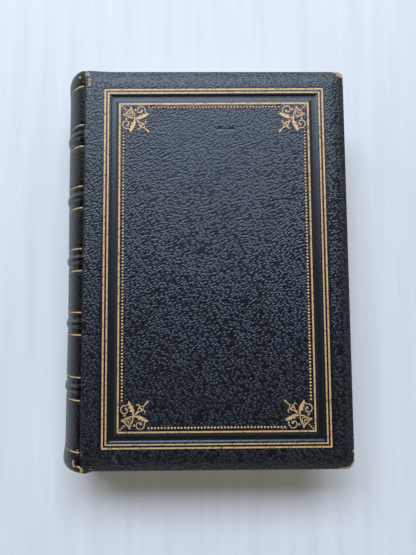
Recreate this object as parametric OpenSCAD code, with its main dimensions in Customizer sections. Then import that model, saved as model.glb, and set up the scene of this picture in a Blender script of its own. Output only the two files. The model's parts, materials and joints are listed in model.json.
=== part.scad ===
// Antique leather-bound book, lying closed on its rear cover.
// X runs from the spine to the fore-edge, Y from the tail to the head, Z up through the front cover.
// The origin is under the middle of the closed book, and all lengths are millimetres.

/* [Boards] */
// Height of the covered boards, tail to head
board_h = 224; // [200:1:260]
// Width of a cover, from its joint to its fore-edge
board_w = 148; // [130:1:180]
// Thickness of the closed book over both covers
book_t = 40; // [34:1:60]
// Thickness of the millboard at the middle of a cover
millboard_t = 3.4; // [2.8:0.1:4]
// Width of the cushioned bevel along head, fore-edge and tail
bevel_w = 9.5; // [6:0.5:10]
// How far the cushioned bevel falls at a board's edge
bevel_drop = 2.2; // [1:0.1:2.4]
// Radius of the corners at the fore-edge, seen from above
corner_r = 2.5; // [1:0.5:6]
// Radius of the corners beside the joint, seen from above
joint_corner_r = 1; // [0.5:0.5:3]

/* [Leather] */
// Thickness of the leather on covers and spine
leather_t = 0.7; // [0.5:0.1:1]
// Thickness of the pared leather turned in over a board's inner face
turn_in_t = 0.4; // [0.3:0.1:0.6]
// Width of the turned-in leather on a board's inner face
turn_in_w = 16; // [10:1:25]
// Width of the slit where two turn-ins meet at a corner
mitre_slit = 0.3; // [0.2:0.1:0.6]
// Clearance that stands for the paste between two glued pieces
paste = 0.05; // [0.03:0.01:0.1]

/* [Joints] */
// Gap between the spine's leather and a cover, half on each side of the hinge line
joint_gap = 0.6; // [0.6:0.1:1.2]
// Width of the flat strip between the hinge line and the round of the spine
joint_land = 1; // [0.8:0.1:2]

/* [Text block] */
// How far the covers stand out past the leaves at head, tail and fore-edge
square_w = 3.5; // [2:0.5:6]
// Depth of the hollow in the fore-edge
fore_hollow = 7; // [3:0.5:9]
// Thickness of a free endpaper
flyleaf_t = 0.3; // [0.2:0.1:0.5]

/* [Spine] */
// How far the round of the spine swells out past the joints
spine_swell = 12.8; // [9:0.2:15]
// Thickness of the paper tube between the leaves and the spine's leather
hollow_t = 1; // [0.8:0.1:1.6]
// Thickness of one wall of that tube
hollow_wall = 0.35; // [0.2:0.05:0.35]
// Thickness of the cloth glued to the back of the leaves
mull_t = 0.3; // [0.2:0.1:0.5]
// How far the cloth stops short of the leaves at head and tail
mull_short = 8; // [4:1:20]
// How far the spine's leather stands past the boards at head and tail
cap_proud = 0.5; // [0:0.1:1.5]
// Thickness of the leather cap over a headband
cap_t = 0.8; // [0.6:0.1:1]
// How far a cap reaches inwards from the outside of the spine
cap_reach = 5; // [4:0.5:8]
// Rounding of the spine's outer edge at head and tail
cap_round = 3.5; // [2.5:0.1:3.5]
// Diameter of the cord rolled inside a cap
cap_cord_d = 1.1; // [0.8:0.1:1.2]
// Diameter of the sewn headbands
headband_d = 2.4; // [1.8:0.1:2.6]

/* [Raised bands] */
// Number of raised bands
band_count = 5; // [3:1:5]
// Distance from the head of the boards to the first band's middle
band_from_head = 37.8; // [30:0.2:45]
// Distance from one band to the next
band_pitch = 35.5; // [30:0.5:36.5]
// Width of a band over its leather
band_w = 5; // [4:0.2:7]
// How far a band stands out of the spine
band_proud = 0.9; // [0.8:0.1:1.4]
// Distance of the blind line from a band's middle
blind_out = 3.6; // [3:0.1:4.5]
// Width of the blind line
blind_w = 0.6; // [0.4:0.1:0.8]
// Distance of the gilt line from a band's middle
spine_line_out = 6.2; // [5.5:0.1:8]
// Width of the gilt lines across the spine
spine_line_w = 0.8; // [0.5:0.1:1.2]
// Distance of the last gilt line from the head of the boards
head_line = 9; // [5:0.5:14]
// Distance of the last gilt line from the tail of the boards
tail_line = 10.6; // [5:0.2:14]

/* [Tooling on the covers] */
// Distance from the head edge to the outer gilt line
margin_head = 11.4; // [11:0.2:16]
// Distance from the tail edge to the outer gilt line
margin_tail = 12.6; // [11:0.2:16]
// Distance from the fore-edge to the outer gilt line
margin_fore = 12.8; // [11:0.2:16]
// Distance from the hinge line to the outer gilt line
margin_joint = 11.2; // [6:0.2:16]
// Width of the outer gilt line
outer_line_w = 0.9; // [0.6:0.1:1.2]
// Width of the second gilt line
second_line_w = 0.8; // [0.6:0.1:1]
// Distance from the outer line to the second
second_line_in = 1.9; // [1.7:0.1:2.5]
// Width of the inner gilt line
inner_line_w = 0.9; // [0.6:0.1:1.2]
// Distance from the outer line to the inner
inner_line_in = 8.4; // [7:0.1:10]
// Depth of the hollow moulding between second and inner line
moulding_depth = 0.45; // [0.2:0.05:0.5]
// Flat left on each side of the hollow moulding
moulding_land = 0.3; // [0.1:0.1:0.6]
// Width of the sloping wall on each side of the hollow moulding
moulding_wall = 1.3; // [0.8:0.1:1.8]
// Distance from the outer line to the row of pearls
pearl_line_in = 10.6; // [9.8:0.1:12]
// Width of one pearl
pearl_d = 1.1; // [0.8:0.1:1.3]
// Distance from one pearl to the next
pearl_pitch = 1.8; // [1.6:0.1:3]
// Depth of the track that the pearls are pressed into
pearl_track = 0.2; // [0.15:0.05:0.3]
// Depth of the gilt lines' grooves
groove_depth = 0.25; // [0.2:0.05:0.4]
// Thickness of the gold in a groove
gilt_t = 0.1; // [0.08:0.01:0.15]

/* [Corner fleurons] */
// Distance from the inner line's corner to a fleuron's first dot
fleuron_gap = 1.5; // [0.8:0.1:3]
// Width of a fleuron over the tips of its two leaves
fleuron_w = 15.6; // [13:0.2:16.4]
// Width of a fleuron's fine strokes
stroke_w = 0.48; // [0.4:0.02:0.6]
// Radius of the scroll that each leaf curls into
scroll_r = 2.4; // [2:0.1:2.5]
// Radius of the round bud
bud_r = 1.2; // [1:0.05:1.3]

/* [Hidden] */
$fn = 64;

// Colours
navy = "#2b323d";
gold = "#c9a467";
leaf_paper = "#e6dcc3";
end_paper = "#d8ccb0";
board_grey = "#8d8678";
cloth = "#cfc6b4";
silk = "#9c3f38";

// How far a cutting solid runs past what it cuts, and how far two mitred cuts lap over each other
past = 1;
mitre_lap = 0.02;

// Angles, on each side of the spine, by which a turned piece runs past the joint or stops short of it
turn_past = 8;
line_short = 2;
cord_short = 6;
headband_short = 10;
// Where a cap's cord lies in the round of the cap: 0 at the spine's side, 90 at the cap's end
cap_cord_turn = 20;

// Covers: a cover's own frame has X from its joint edge, Y as the book, Z from its inner face up
cover_t = leather_t + millboard_t + turn_in_t;
cover_w = board_w - joint_gap / 2;
bevel_r = (bevel_w * bevel_w + bevel_drop * bevel_drop) / (2 * bevel_drop);

// Book: the hinge line of both joints, and the round of the spine
overall_w = board_w + joint_land + spine_swell + band_proud;
hinge_x = overall_w / 2 - board_w;
land_x = hinge_x - joint_land;
spine_r = (book_t * book_t / 4 + spine_swell * spine_swell) / (2 * spine_swell);
spine_x = land_x - spine_swell + spine_r;
spine_inner_r = spine_r - leather_t;
leaves_r = spine_inner_r - hollow_t - mull_t - paste;
spine_edge_x = hinge_x - joint_gap / 2;
shoulder_x = spine_edge_x - paste;
spine_half_angle = asin(book_t / 2 / spine_r);
spine_sweep = 2 * (spine_half_angle + turn_past);

// Leaves
block_h = board_h - 2 * square_w;
block_t = book_t - 2 * cover_t - 2 * flyleaf_t;
block_x1 = hinge_x + board_w - square_w;
fore_r = (block_t * block_t / 4 + fore_hollow * fore_hollow) / (2 * fore_hollow);
flyleaf_x0 = hinge_x + joint_gap;

// Spine lines
cap_y = board_h / 2 + cap_proud;
cap_hollow_r = cap_round - cap_t;
hollow_h = min(block_h, 2 * (cap_y - cap_round));
cap_cord_out = cap_hollow_r - cap_cord_d / 2 - paste;
first_band_y = board_h / 2 - band_from_head;
band_r = (band_w * band_w / 4 + band_proud * band_proud) / (2 * band_proud);
function band_y(n) = first_band_y - (n - 1) * band_pitch;
bands = [for (n = [1 : band_count]) band_y(n)];
spine_lines = concat([board_h / 2 - head_line, tail_line - board_h / 2],
    [for (y = bands, side = [-1, 1]) y + side * spine_line_out]);
blind_lines = [for (y = bands, side = [-1, 1]) y + side * blind_out];

// Tooled frame, in a cover's own frame
frame_x0 = margin_joint - joint_gap / 2;
frame_x1 = cover_w - margin_fore;
frame_y0 = margin_tail - board_h / 2;
frame_y1 = board_h / 2 - margin_head;
frame_w = frame_x1 - frame_x0;
frame_h = frame_y1 - frame_y0;
frame_mid = [(frame_x0 + frame_x1) / 2, (frame_y0 + frame_y1) / 2];
moulding_x0 = second_line_in + second_line_w / 2 + moulding_land;
moulding_x1 = inner_line_in - inner_line_w / 2 - moulding_land;
pearl_track_w = 1.2 * pearl_d;

// Fleurons: their drawing is 16.4 units wide, and its first dot ends 10.9 units from its middle
unit = fleuron_w / 16.4;
fleuron_in = (fleuron_gap + 10.9 * unit) / sqrt(2);
fleuron_reach = inner_line_in - pearl_line_in + fleuron_in + fleuron_w / 2;

// Covers

// Outline of a cover across its width or its height: flat above, a cushioned bevel at the ends
module bevelled_outline(low, high, top, radius, bevel_low) {
    inner_low = bevel_low ? low + bevel_w - (bevel_r - radius) : low;
    inner_high = high - bevel_w + (bevel_r - radius);
    translate([inner_low, 0])
        square([inner_high - inner_low, top]);
    intersection() {
        translate([inner_high, top - radius])
            circle(radius);
        translate([inner_high, 0])
            square([high - inner_high, top]);
    }
    if (bevel_low)
        intersection() {
            translate([inner_low, top - radius])
                circle(radius);
            translate([low, 0])
                square([inner_low - low, top]);
        }
}

// Outline of a cover from above, with its corners rounded
module cover_plan(inset) {
    far_r = corner_r - min(inset, corner_r / 2);
    near_r = joint_corner_r;
    h = board_h / 2 - inset;
    w = cover_w - inset;
    difference() {
        translate([0, -h])
            square([w, 2 * h]);
        for (side = [-1, 1]) {
            corner_cut(w, side * h, far_r, 1, side);
            corner_cut(0, side * h, near_r, -1, side);
        }
    }
}

// What a rounded corner takes off a square one that points along sx and sy
module corner_cut(x, y, r, sx, sy) {
    difference() {
        translate([x - (sx > 0 ? r : past), y - (sy > 0 ? r : past)])
            square(r + past);
        translate([x - sx * r, y - sy * r])
            circle(r);
    }
}

// A cushioned slab, sunk by inset inside the cover's outer form, from the height low up
module cushioned_slab(inset, low) {
    top = cover_t - inset;
    h = board_h / 2 - inset;
    w = cover_w - inset;
    intersection() {
        translate([0, h, 0])
            rotate([90, 0, 0])
                linear_extrude(2 * h)
                    bevelled_outline(0, w, top, bevel_r - inset, false);
        rotate([90, 0, 90])
            linear_extrude(w)
                bevelled_outline(-h, h, top, bevel_r - inset, true);
        translate([0, 0, low])
            linear_extrude(top - low)
                cover_plan(inset);
    }
}

module millboard() {
    color(board_grey)
        cushioned_slab(leather_t + paste, turn_in_t + paste);
}

// The part of a board's inner face that the turned-in leather leaves free
module inner_window(inset, low, high) {
    translate([0, turn_in_w - board_h / 2 + inset, low])
        cube([cover_w - turn_in_w - inset, board_h - 2 * turn_in_w - 2 * inset, high - low]);
}

module pastedown() {
    color(end_paper)
        inner_window(paste, 0, turn_in_t);
}

// A flat ring that follows the tooled frame, d inside its outer line and w wide
module frame_ring(d, w) {
    difference() {
        translate([frame_x0 + d - w / 2, frame_y0 + d - w / 2])
            square([frame_w - 2 * d + w, frame_h - 2 * d + w]);
        translate([frame_x0 + d + w / 2, frame_y0 + d + w / 2])
            square([frame_w - 2 * d - w, frame_h - 2 * d - w]);
    }
}

module gilt_groove(d, w) {
    translate([0, 0, cover_t - groove_depth])
        linear_extrude(groove_depth + past)
            frame_ring(d, w);
}

module gilt_fillet(d, w) {
    color(gold)
        translate([0, 0, cover_t - groove_depth])
            linear_extrude(gilt_t)
                frame_ring(d, w);
}

// One side of the hollow moulding: a broad wheel run along a side of the frame, mitred at its ends
module moulding_side(length) {
    outer = length / 2 - moulding_x0 + moulding_land / 2 + mitre_lap;
    inner = length / 2 - moulding_x1 - moulding_land / 2 + mitre_lap;
    intersection() {
        translate([-length / 2, 0, cover_t])
            rotate([90, 0, 90])
                linear_extrude(length)
                    polygon([[moulding_x0, past], [moulding_x0, 0], [moulding_x0 + moulding_wall, -moulding_depth],
                        [moulding_x1 - moulding_wall, -moulding_depth], [moulding_x1, 0], [moulding_x1, past]]);
        translate([0, 0, cover_t - 2 * moulding_depth])
            linear_extrude(2 * moulding_depth + past)
                polygon([[-outer, moulding_x0 - moulding_land / 2], [outer, moulding_x0 - moulding_land / 2],
                    [inner, moulding_x1 + moulding_land / 2], [-inner, moulding_x1 + moulding_land / 2]]);
    }
}

module moulding() {
    translate([frame_mid[0], frame_y0, 0])
        moulding_side(frame_w);
    translate([frame_mid[0], frame_y1, 0])
        rotate(180)
            moulding_side(frame_w);
    translate([frame_x0, frame_mid[1], 0])
        rotate(-90)
            moulding_side(frame_h);
    translate([frame_x1, frame_mid[1], 0])
        rotate(90)
            moulding_side(frame_h);
}

// Runs its children at the middle of each side of the pearl row, with the length left for pearls as $run
module along_pearl_sides() {
    for (y = [frame_y0 + pearl_line_in, frame_y1 - pearl_line_in])
        translate([frame_mid[0], y, 0]) {
            $run = frame_w - 2 * pearl_line_in - 2 * fleuron_reach;
            children();
        }
    for (x = [frame_x0 + pearl_line_in, frame_x1 - pearl_line_in])
        translate([x, frame_mid[1], 0])
            rotate(90) {
                $run = frame_h - 2 * pearl_line_in - 2 * fleuron_reach;
                children();
            }
}

module pearl_tracks() {
    along_pearl_sides()
        translate([-$run / 2 - pearl_d, -pearl_track_w / 2, cover_t - pearl_track])
            cube([$run + 2 * pearl_d, pearl_track_w, pearl_track + past]);
}

module pearls() {
    color(gold)
        along_pearl_sides() {
            steps = floor($run / pearl_pitch);
            for (i = [0 : steps])
                translate([(i - steps / 2) * pearl_pitch, 0, cover_t - pearl_track])
                    cylinder(d = pearl_d, h = gilt_t, $fn = 6);
        }
}

module turn_in_mitres() {
    reach = (turn_in_w - corner_r) * sqrt(2);
    for (side = [-1, 1])
        translate([cover_w - turn_in_w, side * (board_h / 2 - turn_in_w), -past])
            rotate(side * 45)
                translate([-past, -mitre_slit / 2, 0])
                    cube([past + reach, mitre_slit, past + turn_in_t]);
}

// The leather of one cover, wrapped over three edges of its board and turned in
module cover_leather(pearl_row) {
    color(navy)
        difference() {
            cushioned_slab(0, 0);
            cushioned_slab(leather_t, turn_in_t);
            inner_window(0, -past, turn_in_t + past / 2);
            turn_in_mitres();
            gilt_groove(0, outer_line_w);
            gilt_groove(second_line_in, second_line_w);
            gilt_groove(inner_line_in, inner_line_w);
            moulding();
            if (pearl_row)
                pearl_tracks();
        }
}

// Corner fleurons, drawn with +X from the frame's corner inwards. Their points are in units of the
// drawing, and the named widths and radii are turned into those units

// Points on the curve from a to d that leaves towards b and arrives from c
function curve(a, b, c, d, n) = [for (i = [0 : n]) let (t = i / n, u = 1 - t)
    u * u * u * a + 3 * u * u * t * b + 3 * u * t * t * c + t * t * t * d];

// The direction of the path p at point i, and the point w / 2 to the left of it
function along(p, i) =
    let (a = p[max(i - 1, 0)], b = p[min(i + 1, len(p) - 1)]) (b - a) / norm(b - a);
function beside(p, i, w) = p[i] + w / 2 * [-along(p, i)[1], along(p, i)[0]];

// A stroke along the points p, as wide at each as the list w says
module stroke(p, w) {
    last = len(p) - 1;
    polygon(concat([for (i = [0 : last]) beside(p, i, w[i])],
        [for (i = [last : -1 : 0]) beside(p, i, -w[i])]));
}

// A fine stroke's width at each point of the path p
function even(p) = [for (i = p) stroke_w / unit];

// Scroll: round for most of its turn, then tightening towards its ball
scroll_mid = [-0.5, -6.0];
scroll_start = -28;
scroll_turn = 325;
scroll_steps = 16;
function scroll_point(k) = let (a = scroll_start - k * scroll_turn)
    scroll_mid + scroll_r / unit * (1 - 0.75 * pow(k, 3)) * [cos(a), sin(a)];

// A leaf with a toothed inner edge, whose vein runs on into a scroll that ends in a ball
module leaf_and_scroll() {
    path = concat([[3.2, -6.9]], [for (i = [0 : scroll_steps]) scroll_point(i / scroll_steps)]);
    back = curve([-0.2, -0.2], [3.2, -0.6], [4.0, -3.6], [4.5, -8.2], 7);
    teeth = [[3.5, -7.5], [2.8, -6.7], [2.5, -5.6], [1.4, -5.6], [2.2, -4.2], [0.6, -3.5],
        [1.4, -2.4], [0.9, -1.4]];
    stroke(path, even(path));
    translate(scroll_point(1))
        circle(r = 0.7, $fn = 8);
    polygon(concat(back, teeth));
}

// A tulip that opens towards the corner, with two petals inside it
module tulip() {
    side = curve([-0.2, 0], [-1.4, 2.1], [-3.8, 1.9], [-6.4, 3.4], 6);
    lip = curve([-6.3, 3.3], [-5.6, 2.2], [-5.7, 1.0], [-6.0, 0], 4);
    outer_petal = curve([-5.8, 1.9], [-4.2, 1.7], [-2.0, 1.4], [-2.0, 0], 5);
    inner_petal = curve([-5.8, 0.8], [-4.6, 0.8], [-3.6, 0.7], [-3.6, 0], 4);
    both_sides() {
        stroke(side, even(side));
        stroke(lip, even(lip));
        stroke(outer_petal, 0.8 * even(outer_petal));
        stroke(inner_petal, 0.8 * even(inner_petal));
    }
}

// A round bud with two curled sepals and a spear, on its stem
module bud() {
    r = bud_r / unit;
    wall = stroke_w / unit;
    bud_x = 5.4;
    tip_x = bud_x + r + 1.7;
    sepal = curve([bud_x + 0.5, r - 0.2], [bud_x + 1.6, r + 0.2], [bud_x + 2.2, 3.4], [bud_x + 0.3, 3.3], 6);
    tip = [[bud_x + 0.8, r - 0.2], [bud_x + 2.0, 0.9], [tip_x, 0]];
    stroke([[-0.6, 0], [2.0, 0], [3.3, 0], [bud_x - r + wall / 2, 0]], [0.4, 0.5, 1.2, 0.6]);
    stroke([[tip_x - 0.3, 0], [tip_x + 1.2, 0], [tip_x + 4, 0]], [0.4, 0.6, 1.0]);
    translate([bud_x, 0])
        difference() {
            circle(r = r, $fn = 12);
            circle(r = r - wall, $fn = 8);
        }
    both_sides() {
        stroke(sepal, even(sepal));
        stroke(tip, 0.8 * even(tip));
    }
}

module both_sides() {
    children();
    mirror([0, 1])
        children();
}

module fleuron() {
    tulip();
    bud();
    both_sides() {
        leaf_and_scroll();
        translate([-3.1, -3.9])
            circle(r = 0.6, $fn = 8);
    }
    for (x = [-10.4, -8.9, -7.4])
        translate([x, 0])
            circle(r = 0.5, $fn = 8);
}

module fleurons() {
    d = inner_line_in + fleuron_in;
    color(gold)
        for (sx = [0, 1], sy = [0, 1])
            translate([frame_mid[0], frame_mid[1], cover_t])
                mirror([sx, 0, 0])
                    mirror([0, sy, 0])
                        translate([d - frame_w / 2, d - frame_h / 2, 0])
                            rotate(45)
                                linear_extrude(gilt_t)
                                    scale(unit)
                                        fleuron();
}

// Places its children, drawn in a cover's own frame, as the front or the rear cover
module as_front() {
    translate([hinge_x + joint_gap / 2, 0, book_t - cover_t])
        children();
}

module as_rear() {
    translate([hinge_x + joint_gap / 2, 0, cover_t])
        mirror([0, 0, 1])
            children();
}

// Leaves

// The sewn leaves: rounded and backed, with shoulders for the boards and a hollow fore-edge
module text_block() {
    color(leaf_paper)
        translate([0, block_h / 2, book_t / 2])
            rotate([90, 0, 0])
                linear_extrude(block_h)
                    difference() {
                        union() {
                            translate([shoulder_x, -block_t / 2])
                                square([block_x1 - shoulder_x, block_t]);
                            intersection() {
                                translate([spine_x, 0])
                                    circle(leaves_r);
                                translate([spine_x - spine_r, -book_t / 2])
                                    square([shoulder_x - spine_x + spine_r, book_t]);
                            }
                        }
                        translate([block_x1 + fore_r - fore_hollow, 0])
                            circle(fore_r);
                    }
}

module flyleaf(low) {
    color(end_paper)
        translate([flyleaf_x0, -block_h / 2, low])
            cube([block_x1 - flyleaf_x0, block_h, flyleaf_t]);
}

// Spine

// Turns a profile drawn as [radius, height along the book] through the round of the spine
module spine_turn(sweep) {
    translate([spine_x, 0, book_t / 2])
        rotate([-90, 0, 0])
            rotate(180 - sweep / 2)
                rotate_extrude(angle = sweep, $fn = 128)
                    children();
}

// What lies on the spine's side of the joints
module behind_joints() {
    translate([spine_x - 2 * spine_r, -board_h, 0])
        cube([spine_edge_x - spine_x + 2 * spine_r, 2 * board_h, book_t]);
}

module spine_mull() {
    h = block_h - 2 * mull_short;
    color(cloth)
        intersection() {
            spine_turn(spine_sweep)
                translate([leaves_r + paste, -h / 2])
                    square([mull_t - paste, h]);
            behind_joints();
        }
}

// A flattened paper tube: its inner wall is glued to the leaves and its outer wall to the leather
module spine_hollow() {
    r = leaves_r + mull_t + paste;
    color(end_paper)
        difference() {
            intersection() {
                spine_turn(spine_sweep)
                    translate([r, -hollow_h / 2])
                        square([hollow_t - paste, hollow_h]);
                behind_joints();
            }
            spine_turn(2 * (spine_half_angle - cord_short))
                translate([r + hollow_wall, -hollow_h / 2 - past])
                    square([hollow_t - paste - 2 * hollow_wall, hollow_h + 2 * past]);
        }
}

// Section of a band's rib, round with radius r, from the radius foot outwards
module band_section(y, r, foot) {
    intersection() {
        translate([spine_r + band_proud - band_r, y])
            circle(r);
        translate([foot, y - band_w / 2])
            square([spine_r + band_proud - foot, band_w]);
    }
}

module raised_band(n) {
    if (n <= band_count)
        color(board_grey)
            intersection() {
                spine_turn(spine_sweep)
                    band_section(band_y(n), band_r - leather_t - paste, spine_inner_r);
                behind_joints();
            }
}

// Section from the radius low out to the radius high, with its two outer corners rounded by r
module capped_section(low, high, half_h, r) {
    translate([low, -half_h])
        square([high - low - r, 2 * half_h]);
    translate([high - r, r - half_h])
        square([r, 2 * (half_h - r)]);
    for (side = [-1, 1])
        translate([high - r, side * (half_h - r)])
            circle(r);
}

// Section of the spine's leather: a wall moulded over the bands, with a rounded cap at each end
module spine_section() {
    difference() {
        union() {
            capped_section(spine_r - cap_reach, spine_r, cap_y, cap_round);
            for (y = bands)
                band_section(y, band_r, spine_inner_r);
        }
        capped_section(0, spine_inner_r, cap_y - cap_t, cap_hollow_r);
        for (y = bands)
            band_section(y, band_r - leather_t, spine_inner_r - leather_t);
        for (y = spine_lines)
            translate([spine_r - groove_depth, y - spine_line_w / 2])
                square([groove_depth + past, spine_line_w]);
        for (y = blind_lines)
            translate([spine_r - groove_depth, y - blind_w / 2])
                square([groove_depth + past, blind_w]);
    }
}

module spine_leather() {
    color(navy)
        intersection() {
            spine_turn(spine_sweep)
                spine_section();
            behind_joints();
        }
}

module spine_gilt_lines() {
    color(gold)
        intersection() {
            spine_turn(2 * (spine_half_angle - line_short))
                for (y = spine_lines)
                    translate([spine_r - groove_depth + paste, y - spine_line_w / 2])
                        square([gilt_t, spine_line_w]);
            behind_joints();
        }
}

// A round cord that follows the spine at radius r, its middle at height y
module spine_cord(r, y, d, sweep) {
    spine_turn(sweep)
        translate([r, y])
            circle(d = d, $fn = 32);
}

module headband(side) {
    color(silk)
        spine_cord(leaves_r - headband_d / 2 - paste, side * (block_h / 2 + headband_d / 2 + paste),
            headband_d, 2 * (spine_half_angle - headband_short));
}

module cap_cord(side) {
    color(cloth)
        spine_cord(spine_inner_r - cap_hollow_r + cap_cord_out * cos(cap_cord_turn),
            side * (cap_y - cap_round + cap_cord_out * sin(cap_cord_turn)),
            cap_cord_d, 2 * (spine_half_angle - cord_short));
}

text_block();
flyleaf(book_t - cover_t - flyleaf_t);  // front_flyleaf
flyleaf(cover_t);  // rear_flyleaf
as_front() millboard();  // front_board
as_front() pastedown();  // front_pastedown
as_front() cover_leather(true);  // front_cover_leather
as_rear() millboard();  // rear_board
as_rear() pastedown();  // rear_pastedown
as_rear() cover_leather(false);  // rear_cover_leather
spine_mull();
spine_hollow();
spine_leather();
raised_band(1);  // raised_band_1
raised_band(2);  // raised_band_2
raised_band(3);  // raised_band_3
raised_band(4);  // raised_band_4
raised_band(5);  // raised_band_5
headband(1);  // head_headband
headband(-1);  // tail_headband
cap_cord(1);  // head_cap_cord
cap_cord(-1);  // tail_cap_cord
spine_gilt_lines();
as_front() gilt_fillet(0, outer_line_w);  // front_outer_fillet
as_front() gilt_fillet(second_line_in, second_line_w);  // front_second_fillet
as_front() gilt_fillet(inner_line_in, inner_line_w);  // front_inner_fillet
as_front() pearls();  // front_gilt_pearls
as_front() fleurons();  // front_gilt_fleurons
as_rear() gilt_fillet(0, outer_line_w);  // rear_outer_fillet
as_rear() gilt_fillet(second_line_in, second_line_w);  // rear_second_fillet
as_rear() gilt_fillet(inner_line_in, inner_line_w);  // rear_inner_fillet
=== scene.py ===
# %% [markdown]
# # An antique leather book
# The book lies closed on its rear cover. Its CAD frame gives every size and both hinges, and this
# lesson dresses that frame: grained leather that is drawn over boards and spine, gold that is
# tooled into it, and the paper, thread and cloth that show when a cover opens.

import json
import math
from contextlib import contextmanager

import bpy
import numpy as np
from mathutils import Matrix, Vector


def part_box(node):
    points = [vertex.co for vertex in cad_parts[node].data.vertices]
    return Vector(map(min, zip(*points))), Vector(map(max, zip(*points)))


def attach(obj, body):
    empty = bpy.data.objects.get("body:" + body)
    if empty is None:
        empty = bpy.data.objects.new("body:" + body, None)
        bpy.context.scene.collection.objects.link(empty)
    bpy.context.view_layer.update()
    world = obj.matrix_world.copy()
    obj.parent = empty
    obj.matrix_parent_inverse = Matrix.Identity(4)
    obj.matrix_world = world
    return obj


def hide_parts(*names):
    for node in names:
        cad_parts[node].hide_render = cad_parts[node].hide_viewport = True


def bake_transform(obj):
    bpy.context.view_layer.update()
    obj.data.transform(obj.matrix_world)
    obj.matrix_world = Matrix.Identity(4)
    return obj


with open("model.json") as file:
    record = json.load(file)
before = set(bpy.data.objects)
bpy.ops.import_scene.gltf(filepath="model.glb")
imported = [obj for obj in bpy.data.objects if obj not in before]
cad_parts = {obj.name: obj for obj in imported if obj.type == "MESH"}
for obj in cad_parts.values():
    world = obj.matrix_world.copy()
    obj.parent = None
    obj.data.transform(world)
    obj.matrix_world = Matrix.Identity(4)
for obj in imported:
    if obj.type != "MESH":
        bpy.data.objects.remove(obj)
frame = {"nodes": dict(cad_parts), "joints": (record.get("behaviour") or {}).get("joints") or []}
bpy.context.view_layer.update()

# %% [markdown]
# ## Sizes
# A binder measures the boards before cutting the leather. Here the CAD nodes are measured, and
# what the frame can't tell, such as the depth of a tool, is written once. Blender works in metres,
# so the millimetres below are turned into metres only where a point is placed.

# %% Measure the frame
MM = 0.001


def box_mm(node):
    low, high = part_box(node)
    return np.array(low) / MM, np.array(high) / MM


cover_low, cover_high = box_mm("front_cover_leather")
line_low, line_high = box_mm("front_outer_fillet")
leaves_low, leaves_high = box_mm("text_block")
FORE_X = cover_high[0]
HALF_H = cover_high[1]
BOOK_T = cover_high[2]
INNER_Z = cover_low[2]
MID_Z = BOOK_T / 2
HINGE_X = frame["joints"][0]["pos_m"][0] / MM
JOINT_LAND = 1
SPINE_R = 22.025
SPINE_X = HINGE_X - JOINT_LAND + math.sqrt(SPINE_R ** 2 - MID_Z ** 2)
LEATHER_T = 0.7
LINE_W = 0.9
FRAME_X0, FRAME_Y0 = line_low[0] + LINE_W / 2, line_low[1] + LINE_W / 2
FRAME_X1, FRAME_Y1 = line_high[0] - LINE_W / 2, line_high[1] - LINE_W / 2
print(f"cover {FORE_X - HINGE_X:.1f} x {2 * HALF_H:.0f} mm, spine axis at x {SPINE_X:.2f} mm")

# %% [markdown]
# ## Helpers for pieces
# Operators act on all that is selected, and the loaded nodes start selected, so each piece starts
# by deselecting everything. Most pieces of a book are sheets, so one helper makes a flat grid and
# says in which column and row each of its vertices lies, and another gives a sheet its thickness.

# %% Helpers for pieces
def deselect():
    bpy.ops.object.select_all(action="DESELECT")


def select_only(*pieces):
    deselect()
    for piece in pieces:
        piece.select_set(True)
    bpy.context.view_layer.objects.active = pieces[0]


def new_piece(name):
    """The object that an operator has just made, under its own name."""
    piece = bpy.context.object
    piece.name = piece.data.name = name
    return piece


def join(pieces, name):
    select_only(*pieces)
    bpy.ops.object.join()
    return new_piece(name)


@contextmanager
def whole_mesh():
    """Edit mode with the whole mesh selected, and object mode again at the end."""
    bpy.ops.object.mode_set(mode="EDIT")
    bpy.ops.mesh.select_all(action="SELECT")
    yield
    bpy.ops.object.mode_set(mode="OBJECT")


def points_mm(piece):
    flat = np.empty(len(piece.data.vertices) * 3)
    piece.data.vertices.foreach_get("co", flat)
    return flat.reshape(-1, 3) / MM


def place_mm(piece, points):
    piece.data.vertices.foreach_set("co", (np.asarray(points, float) * MM).ravel())
    piece.data.update()


def flat_grid(name, columns, rows):
    """A grid primitive, and the column and the row of each of its vertices."""
    deselect()
    bpy.ops.mesh.primitive_grid_add(x_subdivisions=columns - 1, y_subdivisions=rows - 1, size=1)
    piece = new_piece(name)
    place = points_mm(piece) * MM + 0.5
    column = np.rint(place[:, 0] * (columns - 1)).astype(int)
    row = np.rint(place[:, 1] * (rows - 1)).astype(int)
    return piece, column, row


def thicken(piece, wall_mm, offset=-1):
    """Turns a sheet into a solid. Its thickness goes inwards unless the offset says otherwise."""
    select_only(piece)
    wall = piece.modifiers.new("wall", "SOLIDIFY")
    wall.thickness, wall.offset = wall_mm * MM, offset
    bpy.ops.object.modifier_apply(modifier=wall.name)


def smooth(piece, degrees=40):
    select_only(piece)
    bpy.ops.object.shade_smooth_by_angle(angle=math.radians(degrees))


def dress(piece, material):
    piece.data.materials.clear()
    piece.data.materials.append(material)

# %% [markdown]
# ## Helpers for materials
# Colours are written as the sRGB hex values that a paint chart gives, and one function turns them
# into the linear numbers that a shader wants. Another adds a node with its settings and links, and
# the size of every pattern is worked out from millimetres.

# %% Helpers for materials
def colour(hex_value):
    """An sRGB hex colour as linear RGBA."""
    channels = [int(hex_value[i:i + 2], 16) / 255 for i in (1, 3, 5)]
    linear = [c / 12.92 if c <= 0.04045 else ((c + 0.055) / 1.055) ** 2.4 for c in channels]
    return (*linear, 1.0)


def new_material(name):
    material = bpy.data.materials.new(name)
    material.use_nodes = True
    material.node_tree.nodes.clear()
    return material


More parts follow.
